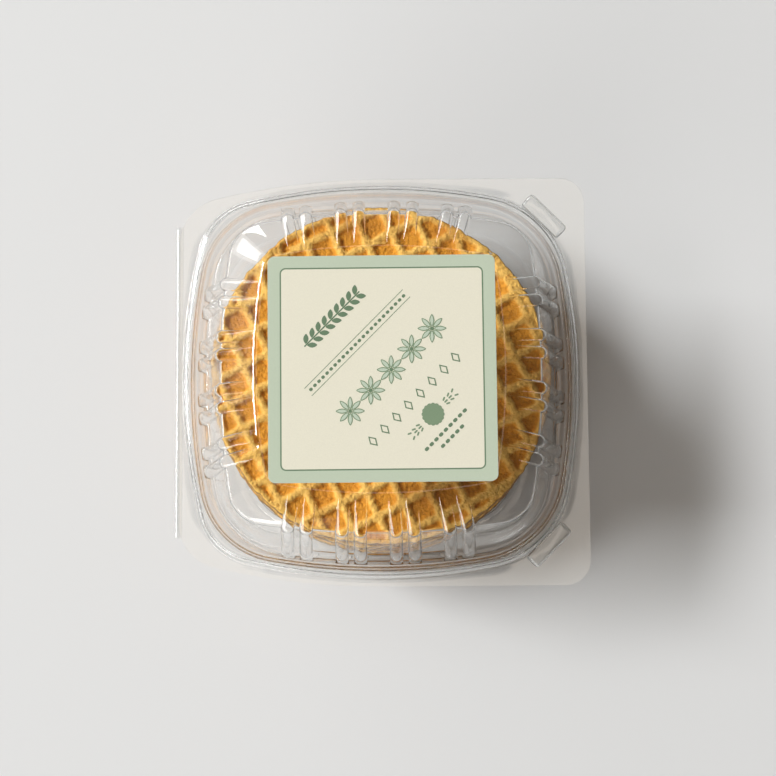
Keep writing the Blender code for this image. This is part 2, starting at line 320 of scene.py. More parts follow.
# %% Thickness of the sheet
def thicken(mesh, thickness=SHEET):
    """A copy of a one-sided mesh as a sheet. The one-sided mesh is removed."""
    holder = bpy.data.objects.new("holder", mesh)
    bpy.context.collection.objects.link(holder)
    solidify = holder.modifiers.new("sheet", "SOLIDIFY")
    solidify.thickness = thickness
    solidify.offset = 0
    solidify.use_even_offset = True
    shown = holder.evaluated_get(bpy.context.evaluated_depsgraph_get())
    solid = bpy.data.meshes.new_from_object(shown)
    solid.name = mesh.name
    bpy.data.objects.remove(holder)
    bpy.data.meshes.remove(mesh)
    solid.shade_smooth()
    solid.set_sharp_from_angle(angle=math.radians(SHARP_ANGLE))
    return solid


print("sheet drawn", round(SHEET * 1000, 2), "mm thick")

# %% [markdown]
# Several finishes here are uneven in the same way: cloudy patches that run from one value to
# another. They share one node group, built once, with its scale and softness as inputs.

# %% A shared group for cloudy patches
def make_mottle():
    """Noise on Object coordinates, spread between a low and a high value, as a mask."""
    group = bpy.data.node_groups.new("mottle", "ShaderNodeTree")
    for name, default in (("Scale", 100.0), ("Detail", 3.0), ("Low", 0.4), ("High", 0.6)):
        socket = group.interface.new_socket(name, in_out="INPUT", socket_type="NodeSocketFloat")
        socket.default_value = default
    group.interface.new_socket("Mask", in_out="OUTPUT", socket_type="NodeSocketFloat")
    enter = group.nodes.new("NodeGroupInput")
    leave = group.nodes.new("NodeGroupOutput")
    place = group.nodes.new("ShaderNodeTexCoord")
    cloud = group.nodes.new("ShaderNodeTexNoise")
    span = group.nodes.new("ShaderNodeMapRange")
    link = group.links.new
    link(place.outputs["Object"], cloud.inputs["Vector"])
    link(enter.outputs["Scale"], cloud.inputs["Scale"])
    link(enter.outputs["Detail"], cloud.inputs["Detail"])
    link(cloud.outputs["Fac"], span.inputs["Value"])
    link(enter.outputs["Low"], span.inputs["From Min"])
    link(enter.outputs["High"], span.inputs["From Max"])
    link(span.outputs["Result"], leave.inputs["Mask"])
    return group


MOTTLE = make_mottle()
print("shared group:", MOTTLE.name)

# %% [markdown]
# The materials are made of the same few steps: a Principled shader, a colour mixed by a mask,
# and a bump. A helper for each keeps the materials short enough to read.

# %% Helpers for materials
def add_mottle(tree, scale, detail, low, high):
    """Place the shared group. Low and high are the noise values where the mask is 0 and 1."""
    node = tree.nodes.new("ShaderNodeGroup")
    node.node_tree = MOTTLE
    for name, value in (("Scale", scale), ("Detail", detail), ("Low", low), ("High", high)):
        node.inputs[name].default_value = value
    return node.outputs["Mask"]


def new_material(name, colour, roughness, ior=1.5):
    """A material, its node tree and its Principled shader."""
    material = bpy.data.materials.new(name)
    material.use_nodes = True
    shader = material.node_tree.nodes["Principled BSDF"]
    shader.inputs["Base Color"].default_value = (*colour, 1)
    shader.inputs["Roughness"].default_value = roughness
    shader.inputs["IOR"].default_value = ior
    return material, material.node_tree, shader


def add_mix(tree, factor, low, high):
    """A colour mix by a factor socket. low and high are colours or sockets."""
    mix = tree.nodes.new("ShaderNodeMix")
    mix.data_type = "RGBA"
    tree.links.new(factor, mix.inputs["Factor"])
    for socket, value in ((mix.inputs["A"], low), (mix.inputs["B"], high)):
        if isinstance(value, tuple):
            socket.default_value = (*value, 1)
        else:
            tree.links.new(value, socket)
    return mix.outputs["Result"]


def add_bump(tree, height, distance, strength=1.0):
    """A bump as high as distance, in metres, where the height socket is 1."""
    bump = tree.nodes.new("ShaderNodeBump")
    bump.inputs["Distance"].default_value = distance
    bump.inputs["Strength"].default_value = strength
    tree.links.new(height, bump.inputs["Height"])
    return bump.outputs["Normal"]


print("helpers:", ", ".join(f.__name__ for f in (add_mottle, new_material, add_mix, add_bump)))

# %% [markdown]
# Clear plastic bends light a little and mirrors it at grazing angles, which is what draws the
# creases. A lamp's light would not get through such a shader cleanly, so shadow rays and the
# rays that leave the wafers and the table pass a plain tinted film instead. The second film is
# slightly blue, which takes some of the wafers' warm glow off the table. A very low, wide bump
# gives the slight waviness of a drawn sheet.

# %% Clear plastic
PLASTIC_IOR = 1.57
PLASTIC_COLOUR = (0.992, 0.995, 0.99)
PLASTIC_ROUGHNESS = 0.03
WAVE_SCALE = 60.0
WAVE_HEIGHT = 0.00006
FILM_TINT = (0.984, 0.985, 0.985)
BOUNCE_TINT = (0.935, 0.957, 0.985)


def make_plastic():
    material, tree, shader = new_material("clear plastic", PLASTIC_COLOUR, PLASTIC_ROUGHNESS,
                                          PLASTIC_IOR)
    shader.inputs["Transmission Weight"].default_value = 1.0
    waves = add_mottle(tree, WAVE_SCALE, 1.0, 0.2, 0.8)
    tree.links.new(add_bump(tree, waves, WAVE_HEIGHT), shader.inputs["Normal"])
    path = tree.nodes.new("ShaderNodeLightPath")
    surface = shader.outputs["BSDF"]
    for ray, tint in (("Is Shadow Ray", FILM_TINT), ("Is Diffuse Ray", BOUNCE_TINT)):
        film = tree.nodes.new("ShaderNodeBsdfTransparent")
        film.inputs["Color"].default_value = (*tint, 1)
        mix = tree.nodes.new("ShaderNodeMixShader")
        tree.links.new(path.outputs[ray], mix.inputs["Fac"])
        tree.links.new(surface, mix.inputs[1])
        tree.links.new(film.outputs["BSDF"], mix.inputs[2])
        surface = mix.outputs["Shader"]
    tree.links.new(surface, tree.nodes["Material Output"].inputs["Surface"])
    return material


PLASTIC = make_plastic()
print("material:", PLASTIC.name, "IOR", PLASTIC_IOR)

# %% [markdown]
# The tray: a raised floor panel on a flat foot, fluted walls, a bead that the lid's bead snaps
# over, and the flange.

# %% Tray
TRAY_BEAD_TOP = TRAY_MID + 0.00335
TRAY_LEVELS = [
    Level(0.0540, 0.0023, 0.230, 0.0640, 0.0640, 0, 1.0),
    Level(0.0560, SHEET / 2, 0.232, 0.0660, 0.0660, 0, 1.0, 0.0008),
    Level(0.0632, SHEET / 2, 0.242, 0.0746, 0.0746, 0, 1.0, 0.0012),
    Level(0.0653, 0.0024, 0.243, 0.0766, 0.0766, 0.0014, 1.0, 0.0012),
    Level(0.0673, 0.0310, 0.250, 0.0785, 0.0785, 0.0015, 1.04, 0.0016),
    Level(0.0689, 0.0352, 0.225, 0.0805, 0.0797, 0, 1.04, 0.0008),
    Level(0.0705, TRAY_MID - 0.0001, 0.226, 0.0821, 0.0813, 0, 1.04, 0.0010),
    Level(0.0711, TRAY_BEAD_TOP, 0.225, 0.0827, 0.0819, 0, 1.04, 0.0012),
    Level(0.0725, TRAY_BEAD_TOP, 0.213, 0.0858, 0.0836, 0, 1.04, 0.0012),
    Level(0.0728, TRAY_MID, 0.214, 0.0861, 0.0839, 0, 1.04, 0.0006),
]


def tray_rings():
    rings = [outline(level) for level in TRAY_LEVELS]
    rings.append(flange_edge(rings[-1], TRAY_MID))
    return rings, [level.fillet for level in TRAY_LEVELS]


def moulded_half(rings, fillets, name):
    """Loft a half from its rings, out to the flange's edge, and give it thickness."""
    return thicken(mesh_from(loft(rounded(rings, fillets)), name))


add_piece("moulded_tray", moulded_half(*tray_rings(), "moulded_tray"), [PLASTIC], "tray",
          ["tray"])

# %% [markdown]
# The lid: a flat top for the label, a gentle slope on which the flutes start, a steep wall where
# they are deepest, and the bead and flange. One more outline, part of the way down the gentle
# slope, makes the flutes start early. The bead's front corners are cut straight, to leave room
# for the snap bars.

# %% Lid
BREAK_Z = PARTING_Z + 0.0265
EARLY_SHARE = 0.4
EARLY_FLUTE = 0.0007
EARLY_FILLET = 0.0016
BREAK_LEVEL = 2
BEAD_LEVELS = (6, 7)
LID_BEAD_TOP = LID_MID + 0.00355
LID_LEVELS = [
    Level(0.0440, LID_TOP, 0.205, 0.0553, 0.0553, 0, 0.90),
    Level(0.0452, LID_TOP, 0.210, 0.0569, 0.0569, 0, 0.91, 0.0009),
    Level(0.0580, BREAK_Z, 0.290, 0.0721, 0.0721, 0.0018, 1.0, 0.0010),
    Level(0.0648, LID_MID, 0.260, 0.0770, 0.0770, 0.0031, 1.04, 0.0010),
    Level(0.0694, LID_MID, 0.225, 0.0810, 0.0802, 0, 1.04, 0.0006),
    Level(0.0701, LID_BEAD_TOP, 0.224, 0.0817, 0.0809, 0, 1.04, 0.0012),
    Level(0.0731, LID_BEAD_TOP, 0.214, 0.0864, 0.0842, 0, 1.04, 0.0018),
    Level(0.0741, LID_MID, 0.215, 0.0874, 0.0852, 0, 1.04, 0.0008),
]
SNAP_DIAGONAL = 0.0874
SNAP_WIDTH = 0.0056
BEAD_CHAMFER = SNAP_DIAGONAL - SNAP_WIDTH / 2 - 0.0006
BEAD_FOOT = 0.0009


def chamfered(ring, limit):
    """Cut the front corners of a ring straight across, where the snap bars stand."""
    for side in (1, -1):
        across = (ring[:, 0] + side * ring[:, 1]) / math.sqrt(2)
        over = np.maximum(across - limit, 0) / math.sqrt(2)
        ring[:, 0] -= over
        ring[:, 1] -= side * over
    return ring


def lid_rings():
    rings = [outline(level) for level in LID_LEVELS]
    rings.append(flange_edge(rings[-1], LID_MID))
    for level, outwards in zip(BEAD_LEVELS, (0, BEAD_FOOT)):
        rings[level] = chamfered(rings[level], BEAD_CHAMFER + outwards)
    fillets = [level.fillet for level in LID_LEVELS]
    fluted = outline(LID_LEVELS[BREAK_LEVEL]._replace(flute=EARLY_FLUTE / EARLY_SHARE))
    above = rings[BREAK_LEVEL - 1]
    rings.insert(BREAK_LEVEL, (1 - EARLY_SHARE) * above + EARLY_SHARE * fluted)
    fillets.insert(BREAK_LEVEL, EARLY_FILLET)
    return rings, fillets


add_piece("moulded_lid", moulded_half(*lid_rings(), "moulded_lid"), [PLASTIC], "lid",
          ["lid"])

# %% [markdown]
# Across each front corner the lid has a snap bar, a hollow raised pocket that a thumb presses
# shut. A cube without its floor is bevelled and thickened, and stands a hair above the flange.

# %% Snap bars
SNAP_LENGTH = 0.0184
SNAP_RISE = 0.0032
SNAP_SHEET = 0.0002
SNAP_ROUND = 0.0013
HAIR = 0.00003
FLANGE_TOP = LID_MID + SHEET / 2


def snap_bar(side):
    """The bar across the corner where x and side * y are positive."""
    bm = bmesh.new()
    size = Matrix.Diagonal((SNAP_WIDTH, SNAP_LENGTH, SNAP_RISE, 1))
    bmesh.ops.create_cube(bm, size=1, matrix=size)
    floor = [face for face in bm.faces if face.normal.z < -0.5]
    bmesh.ops.delete(bm, geom=floor, context="FACES_ONLY")
    edges = [edge for edge in bm.edges if not edge.is_boundary]
    bmesh.ops.bevel(bm, geom=edges, offset=SNAP_ROUND, segments=4, profile=0.5,
                    affect="EDGES", material=-1)
    angle = side * math.pi / 4
    place = Vector((SNAP_DIAGONAL * math.cos(angle), SNAP_DIAGONAL * math.sin(angle),
                    FLANGE_TOP + HAIR + SNAP_RISE / 2))
    turn = Matrix.Translation(place) @ Matrix.Rotation(angle, 4, "Z")
    bmesh.ops.transform(bm, verts=bm.verts, matrix=turn)
    return thicken(mesh_from(bm, "snap_bar"), SNAP_SHEET)


for side, name in ((1, "snap_bar_back"), (-1, "snap_bar_front")):
    add_piece(name, snap_bar(side), [PLASTIC], "lid")

# %% [markdown]
# The hinge is the sheet itself, folded round in a soft roll along the hinge side. An edge is spun
# half a turn round the roll's middle, and its two ends run in over the flanges. It belongs to
# both halves, so it is tied to neither and stays where it is built.

# %% Hinge roll
ROLL_RADIUS = 0.0011
ROLL_HALF_LENGTH = 0.0585
ROLL_LIP = 0.0014
ROLL_STEPS = 10


def run_in(bm, edges):
    """Extrude the roll's end inwards, over the flange."""
    lip = bmesh.ops.extrude_edge_only(bm, edges=edges)["geom"]
    verts = [item for item in lip if isinstance(item, bmesh.types.BMVert)]
    bmesh.ops.translate(bm, verts=verts, vec=(ROLL_LIP, 0, 0))


def hinge_roll():
    bm = bmesh.new()
    middle = Vector((HINGE_EDGE_X, 0, PARTING_Z))
    top = middle + Vector((0, 0, ROLL_RADIUS))
    ends = [bm.verts.new(top + Vector((0, y, 0))) for y in (-ROLL_HALF_LENGTH, ROLL_HALF_LENGTH)]
    edge = bm.edges.new(ends)
    run_in(bm, [edge])
    spun = bmesh.ops.spin(bm, geom=[edge, *ends], cent=middle, axis=(0, -1, 0), dvec=(0, 0, 0),
                          angle=math.pi, steps=ROLL_STEPS, use_merge=False)
    run_in(bm, [item for item in spun["geom_last"] if isinstance(item, bmesh.types.BMEdge)])
    return thicken(mesh_from(bm, "hinge_roll"))


roll = add_piece("hinge_roll", hinge_roll(), [PLASTIC], None, ["hinge_strip"])
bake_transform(roll)

# %% [markdown]
# A wafer is baked between two plates cut with the same grooves, so both faces carry a square
# lattice of soft ridges inside a plain raised rim, and batter that ran out makes the edge
# uneven. The shape of one face is a height for every point: a ridge wherever the point is near
# a line of the lattice or near the rim. The lines wander a little, as they do in real wafers.

# %% The relief of a wafer
LATTICE_PITCH = 0.0104
LATTICE_ANGLE = math.radians(26)
LATTICE_SHIFT = 0.0022
RIDGE_CREST = 0.0005
RIDGE_FOOT = 0.0024
RIM_CREST = 0.0014
RIM_FALL = 0.0016
PIT_DEPTH = 0.0015
UNDER_DEPTH = 0.0009
# Waves round the edge: how many, and how high.
WAVES = ((2, 0.00022), (3, 0.00022), (5, 0.00020), (9, 0.00013), (14, 0.00012), (23, 0.00010),
         (41, 0.00014), (67, 0.00012), (98, 0.00010))
# Moves along u or v: size, then the sine's radians per metre of u and of v, start, seed's share.
WANDER = (("u", ((0.00025, 0, 210, 0, 1), (0.00020, 95, 0, 0, 2))),
          ("v", ((0.00025, 180, 0, 1, 1),)),
          ("u", ((0.00013, 500, 1300, 0, 0), (0.00010, -900, 2100, 0, 0))),
          ("v", ((0.00013, 1150, -600, 0, 0), (0.00010, 1900, 800, 0, 0))))

Wafer = namedtuple("Wafer", "x y low high radius turn shift phases seed")


def smooth(value):
    value = np.clip(value, 0, 1)
    return value * value * (3 - 2 * value)


def edge_radius(wafer, angle):
    """The uneven outline: the mean radius with a few waves round it."""
    waves = sum(size * np.cos(count * angle + phase)
                for (count, size), phase in zip(WAVES, wafer.phases))
    return wafer.radius + waves


def ridge(distance):
    return 1 - smooth((distance - RIDGE_CREST) / (RIDGE_FOOT - RIDGE_CREST))


def wander(u, v, seed):
    """The same points, moved a little along the lattice."""
    for way, waves in WANDER:
        move = sum(size * np.sin(along_u * u + along_v * v + start + share * seed)
                   for size, along_u, along_v, start, share in waves)
        u, v = (u + move, v) if way == "u" else (u, v + move)
    return u, v


def relief(wafer, x, y):
    """Height between the pits' floor, 0, and the crests, 1, for arrays of points."""
    u = x * math.cos(wafer.turn) + y * math.sin(wafer.turn)
    v = y * math.cos(wafer.turn) - x * math.sin(wafer.turn)
    u, v = wander(u, v, wafer.seed)
    u_line = np.abs((u - wafer.shift) / LATTICE_PITCH % 1 - 0.5) * LATTICE_PITCH
    v_line = np.abs(v / LATTICE_PITCH % 1 - 0.5) * LATTICE_PITCH
    to_edge = edge_radius(wafer, np.arctan2(y, x)) - np.hypot(x, y)
    rim = 1 - smooth((to_edge - RIM_CREST) / RIM_FALL)
    return 1 - (1 - ridge(u_line)) * (1 - ridge(v_line)) * (1 - rim)


print("lattice pitch:", round(LATTICE_PITCH * 1000, 1), "mm, pits", PIT_DEPTH * 1000, "mm deep")

# %% [markdown]
# The mesh of a wafer starts as a grid turned with its lattice, so the ridges run along rows of
# vertices. What lies outside the rim is deleted, and the ragged boundary is pulled onto the
# wafer's own uneven outline and extruded outwards over the rim and down to the middle of the
# edge. A mirrored copy, with shallower pits, makes the underside. The relief is kept on each
# vertex for the material, and goes on past 1 down the edge.

# %% Build one wafer
RIM_INSET = 0.0009
# Outlines from the rim to the edge's middle: inset, and the part of the half thickness it drops.
EDGE_RINGS = ((0.0005, 0.06), (0.0002, 0.22), (0.00004, 0.5), (0, 1.0))
# Unevenness: scale of the noise, step between two wafers' layers of it, and height in metres.
COARSE_LUMPS = (420, 3.1, 0.00020)
FINE_LUMPS = (950, 5.3, 0.00012)
WARP = (22, 7.7, 0.00012)
SAME_PLACE = 1e-6
WAFER_SHARP_ANGLE = 75


def uneven(kind, seed, x, y):
    scale, layer, height = kind
    return height * noise.noise(Vector((x * scale, y * scale, seed * layer)))


def lumps(seed, x, y):
    """Small unevenness of a baked face, in metres."""
    return uneven(COARSE_LUMPS, seed, x, y) + uneven(FINE_LUMPS, seed, x, y)


def on_edge(wafer, vert, inset):
    """x and y of the point this far inside the edge, in the direction of a vertex."""
    angle = math.atan2(vert.co.y, vert.co.x)
    reach = edge_radius(wafer, angle) - inset
    return reach * math.cos(angle), reach * math.sin(angle)


def wafer_mesh(wafer, lines, name):
    """One wafer, with this many rows of vertices to each cell of the lattice."""
    cells = math.ceil(wafer.radius / LATTICE_PITCH) + 1
    bm = bmesh.new()
    height = bm.verts.layers.float.new("relief")
    bmesh.ops.create_grid(bm, x_segments=2 * cells * lines, y_segments=2 * cells * lines,
                          size=cells * LATTICE_PITCH)
    bmesh.ops.rotate(bm, verts=bm.verts, cent=(0, 0, 0), matrix=Matrix.Rotation(wafer.turn, 3, "Z"))
    outside = []
    for face in bm.faces:
        middle = face.calc_center_median()
        limit = edge_radius(wafer, math.atan2(middle.y, middle.x)) - RIM_INSET
        if math.hypot(middle.x, middle.y) > limit:
            outside.append(face)
    bmesh.ops.delete(bm, geom=outside, context="FACES")
    rim = [edge for edge in bm.edges if edge.is_boundary]
    for vert in {vert for edge in rim for vert in edge.verts}:
        vert.co.x, vert.co.y = on_edge(wafer, vert, RIM_INSET)
    half = (wafer.high - wafer.low) / 2
    top = np.array([vert.co[:2] for vert in bm.verts])
    for vert, raised in zip(bm.verts, relief(wafer, top[:, 0], top[:, 1])):
        vert[height] = raised
        vert.co.z = half - PIT_DEPTH * (1 - raised) + lumps(wafer.seed, vert.co.x, vert.co.y)
    for inset, drop in EDGE_RINGS:
        grown = bmesh.ops.extrude_edge_only(bm, edges=rim)["geom"]
        new = {item for item in grown if isinstance(item, bmesh.types.BMVert)}
        for vert in new:
            x, y = on_edge(wafer, vert, inset)
            vert.co = (x, y, (half + lumps(wafer.seed, x, y)) * (1 - drop))
            vert[height] = 1 + drop
        rim = [e for e in grown if isinstance(e, bmesh.types.BMEdge)
               and e.verts[0] in new and e.verts[1] in new]
    under = bmesh.ops.duplicate(bm, geom=bm.verts[:] + bm.edges[:] + bm.faces[:])["geom"]
    for item in under:
        if isinstance(item, bmesh.types.BMVert):
            x, y, z = item.co
            on_face = math.hypot(x, y) < edge_radius(wafer, math.atan2(y, x)) - RIM_INSET / 2
            item.co.z = -z - (half - z) * (1 - UNDER_DEPTH / PIT_DEPTH) * on_face
    bmesh.ops.remove_doubles(bm, verts=bm.verts, dist=SAME_PLACE)
    for vert in bm.verts:
        vert.co.z += uneven(WARP, wafer.seed, vert.co.x, vert.co.y) + (wafer.low + wafer.high) / 2
        vert.co.x += wafer.x
        vert.co.y += wafer.y
    return mesh_from(bm, name, WAFER_SHARP_ANGLE)


print("outlines over the rim:", len(EDGE_RINGS))

# %% [markdown]
# Baked batter is palest on the crests, and browner in the pits and wherever the iron ran hot.
# The relief attribute drives the first and two sizes of cloudy patches the second. Past 1, it
# darkens the edge: partly its own deeper bake, partly painted shade between the stacked wafers.
# Fine bumps give the dry, slightly open crumb.

# %% Baked wafer
CREST_COLOUR = (0.97, 0.58, 0.14)
PIT_COLOUR = (0.83, 0.355, 0.036)
TOAST_COLOUR = (0.55, 0.20, 0.025)
# The edge: its own darker bake, together with painted shade of the gaps between stacked wafers.
EDGE_BAKE_AND_SHADE_COLOUR = (0.24, 0.140, 0.065)
# Between which values of the relief the crests' colour and the edge's bake and painted shade come
# in.
CREST_SPAN = (0.22, 0.80)
EDGE_BAKE_AND_SHADE_SPAN = (1.04, 1.25)
# Cloudy patches: scale, detail, low and high.
TOAST_PATCHES = (55.0, 4.0, 0.50, 0.82)
FRECKLES = (620.0, 4.0, 0.50, 0.85)
CRUMB = (750.0, 5.0, 0.3, 0.7)
CRUMB_HEIGHT = 0.00042


def add_span(tree, value, span):
    """A mask that runs from 0 to 1 as a value crosses a span."""
    node = tree.nodes.new("ShaderNodeMapRange")
    node.inputs["From Min"].default_value, node.inputs["From Max"].default_value = span
    tree.links.new(value, node.inputs["Value"])
    return node.outputs["Result"]


def make_wafer_material():
    material, tree, shader = new_material("baked wafer", CREST_COLOUR, 0.6, 1.45)
    height = tree.nodes.new("ShaderNodeAttribute")
    height.attribute_name = "relief"
    proud = add_span(tree, height.outputs["Fac"], CREST_SPAN)
    body = add_mix(tree, proud, PIT_COLOUR, CREST_COLOUR)
    # Past 1 the edge darkens: its own bake and painted shade between the stacked wafers.
    side = add_span(tree, height.outputs["Fac"], EDGE_BAKE_AND_SHADE_SPAN)
    body = add_mix(tree, side, body, EDGE_BAKE_AND_SHADE_COLOUR)
    for patches in (TOAST_PATCHES, FRECKLES):
        body = add_mix(tree, add_mottle(tree, *patches), body, TOAST_COLOUR)
    tree.links.new(body, shader.inputs["Base Color"])
    crumb = add_mottle(tree, *CRUMB)
    tree.links.new(add_bump(tree, crumb, CRUMB_HEIGHT), shader.inputs["Normal"])
    shader.inputs["Specular IOR Level"].default_value = 0.15
    return material


BAKED = make_wafer_material()
print("material:", BAKED.name)

# %% [markdown]
# The stack: each wafer takes its middle and height from its node, and its own turn of the
# lattice, except that the top one keeps the turn of the solid. Only the top one is seen from
# above, so its mesh is the finest, and it is a little wider than the rest.

# %% Stack of wafers
TOP_LINES = 14
LOWER_LINES = 8
TOP_INSET = 0.0002
LOWER_INSET = 0.0010
STACK_SEED = 11


def make_stack():
    draw = random.Random(STACK_SEED)
    for number, node in enumerate(WAFER_NODES, 1):
        low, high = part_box(node)
        on_top = number == len(WAFER_NODES)
        turn = LATTICE_ANGLE if on_top else draw.uniform(0, math.pi / 2)
        shift = LATTICE_SHIFT if on_top else draw.uniform(0, LATTICE_PITCH)
        phases = [draw.uniform(0, 2 * math.pi) for _ in WAVES]
        radius = (high.x - low.x + high.y - low.y) / 4
        wafer = Wafer((low.x + high.x) / 2, (low.y + high.y) / 2, low.z, high.z,
                      radius - (TOP_INSET if on_top else LOWER_INSET), turn, shift, phases, number)
        name = f"baked_wafer_{number:02d}"
        mesh = wafer_mesh(wafer, TOP_LINES if on_top else LOWER_LINES, name)
        add_piece(name, mesh, [BAKED], "tray", [node])


make_stack()

# %% [markdown]
# The label is a square of coated paper with round corners: a sage border, a dark keyline with
# its own corners, and a cream field. The lofting helper makes it too, from rounded squares that
# have the same number of points.

# %% Label paper
PAPER_SHARP_ANGLE = 30
LABEL_LIFT = 0.0003
LABEL_MIDDLE = Vector(((LABEL_LOW.x + LABEL_HIGH.x) / 2, (LABEL_LOW.y + LABEL_HIGH.y) / 2, 0))
LABEL_SIDE = LABEL_HIGH.x - LABEL_LOW.x
LABEL_TOP = LID_HIGH.z + LABEL_LIFT
LABEL_TILT = math.radians(0.2)
LABEL_CORNER = 0.0026
LABEL_EDGE = 0.00004
BORDER_WIDTH = 0.0043
BORDER_CORNER = 0.0021
KEYLINE_WIDTH = 0.0005
FIELD_CORNER = 0.0016
FIBRES = (2600.0, 4.0, 0.3, 0.7)
FIBRE_HEIGHT = 0.00002


def rounded_square(side, corner, z):
    inner = side / 2 - corner
    points = []
    for quarter in range(4):
        centre = polar(inner * math.sqrt(2), math.pi / 4 + quarter * math.pi / 2)
        points += arc_points(centre, corner, 90 * quarter, 90 * quarter + 90, 8)
    return np.array([(x, y, z) for x, y in points])


def make_ink(name, colour):
    """Printed paper: the ink's colour, a little uneven, over a fine fibre bump."""
    material, tree, shader = new_material(name, colour, 0.42)
    darker = tuple(0.955 * part for part in colour)
    fibre = add_mottle(tree, *FIBRES)
    tree.links.new(add_mix(tree, fibre, darker, colour), shader.inputs["Base Color"])
    tree.links.new(add_bump(tree, fibre, FIBRE_HEIGHT, 0.5), shader.inputs["Normal"])
    return material


INKS = [make_ink("sage ink", (0.585, 0.665, 0.514)),
        make_ink("dark green ink", (0.155, 0.245, 0.145)),
        make_ink("cream paper", (0.895, 0.855, 0.695)),
        make_ink("pale green ink", (0.590, 0.680, 0.545)),
        make_ink("moss ink", (0.235, 0.330, 0.205))]
SAGE, DARK, CREAM, PALE, MOSS = range(len(INKS))


def place_on_label(bm):
    move = Matrix.Translation(LABEL_MIDDLE) @ Matrix.Rotation(LABEL_TILT, 4, "Z")
    bmesh.ops.transform(bm, verts=bm.verts, matrix=move)


def label_mesh():
    inner = LABEL_SIDE - 2 * BORDER_WIDTH
    field = inner - 2 * KEYLINE_WIDTH
    top_side, top_corner = LABEL_SIDE - 2 * LABEL_EDGE, LABEL_CORNER - LABEL_EDGE
    rings = [rounded_square(field, FIELD_CORNER, LABEL_TOP),
             rounded_square(inner, BORDER_CORNER, LABEL_TOP),
             rounded_square(top_side, top_corner, LABEL_TOP),
             rounded_square(LABEL_SIDE, LABEL_CORNER, LABEL_TOP - LABEL_EDGE),
             rounded_square(LABEL_SIDE, LABEL_CORNER, LID_HIGH.z + HAIR)]
    bm = loft(rings, bands=[CREAM, DARK, SAGE, SAGE, CREAM, CREAM], close=True)
    place_on_label(bm)
    return mesh_from(bm, "paper_label", PAPER_SHARP_ANGLE)


add_piece("paper_label", label_mesh(), INKS, "lid", ["label"])

# %% [markdown]
# The print runs along the label's diagonal. It is generic: a leafy sprig, rules, rosettes, a
# row of lozenges like the wafer's lattice, a scalloped disc and rows of dashes. Each shape is
# flat, and is extruded by the thickness of the ink. The first cell makes the plain shapes.

# %% Shapes for the print
INK = 0.00003
SLANT = math.radians(45)
SCALLOP_DEPTH = 0.07
PETAL_PLACE = 0.56


def stamp(bm, start, u, v, turn, ink):
    """Place the shape made from vertex number start on, and give it the ink's thickness."""
    bm.verts.ensure_lookup_table()
    verts = bm.verts[start:]
    faces = list({face for vert in verts for face in vert.link_faces})
    for face in faces:
        face.material_index = ink
    move = Matrix.Rotation(SLANT, 4, "Z") @ Matrix.Translation((u, v, LABEL_TOP + HAIR / 3))
    bmesh.ops.transform(bm, verts=verts, matrix=move @ Matrix.Rotation(turn, 4, "Z"))
    grown = bmesh.ops.extrude_face_region(bm, geom=faces)["geom"]
    top = [item for item in grown if isinstance(item, bmesh.types.BMVert)]
    bmesh.ops.translate(bm, verts=top, vec=(0, 0, INK))


def bar(bm, u, v, length, width, ink, turn=0.0):
    """A dash with rounded ends."""
    start = len(bm.verts)
    verts = bmesh.ops.create_grid(bm, x_segments=1, y_segments=1, size=0.5)["verts"]
    bmesh.ops.scale(bm, verts=verts, vec=(length, width, 1))
    bmesh.ops.bevel(bm, geom=verts, offset=0.45 * min(length, width), segments=3,
                    profile=0.5, affect="VERTICES", material=-1)
    stamp(bm, start, u, v, turn, ink)


def lozenge(bm, u, v, width, height, line, ink):
    """An open diamond drawn with a line."""
    start = len(bm.verts)
    verts = bmesh.ops.create_circle(bm, cap_ends=True, segments=4, radius=0.5)["verts"]
    bmesh.ops.scale(bm, verts=verts, vec=(width, height, 1))
    face = verts[0].link_faces[0]
    bmesh.ops.inset_region(bm, faces=[face], thickness=line, use_boundary=True,
                           use_even_offset=True)
    bmesh.ops.delete(bm, geom=[face], context="FACES_ONLY")
    stamp(bm, start, u, v, 0, ink)


def leaf(bm, u, v, length, width, turn, ink, lift=0.0):
    """A pointed oval. lift raises it, to lie on another shape."""
    start = len(bm.verts)
    verts = bmesh.ops.create_circle(bm, cap_ends=True, segments=14, radius=0.5)["verts"]
    for vert in verts:
        vert.co = (vert.co.x * length, vert.co.y * width * (1 - 1.8 * vert.co.x ** 2), lift)
    stamp(bm, start, u, v, turn, ink)


def scalloped_disc(bm, u, v, radius, ink, scallops=16):
    start = len(bm.verts)
    verts = bmesh.ops.create_circle(bm, cap_ends=True, segments=scallops * 6, radius=1)["verts"]
    for vert in verts:
        angle = math.atan2(vert.co.y, vert.co.x)
        wave = abs(math.cos(scallops * angle / 2))
        reach = radius * (1 - SCALLOP_DEPTH + SCALLOP_DEPTH * wave)
        vert.co.x, vert.co.y = reach * math.cos(angle), reach * math.sin(angle)
    stamp(bm, start, u, v, 0, ink)


def rosette(bm, u, v, radius, petals=8):
    """A star of pale petals, each with a darker edge, round a small dot."""
    for i in range(petals):
        angle = 2 * math.pi * i / petals
        at = polar(PETAL_PLACE * radius, angle) + (u, v)
        leaf(bm, *at, 0.88 * radius, 0.36 * radius, angle, MOSS)
        leaf(bm, *at, 0.70 * radius, 0.22 * radius, angle, PALE, lift=INK)
    scalloped_disc(bm, u, v, 0.13 * radius, DARK)


print("ink", INK * 1000, "mm thick")

# %% [markdown]
# The second cell lays the shapes out. Every row has its place across the diagonal, its number
# of shapes and their pitch.

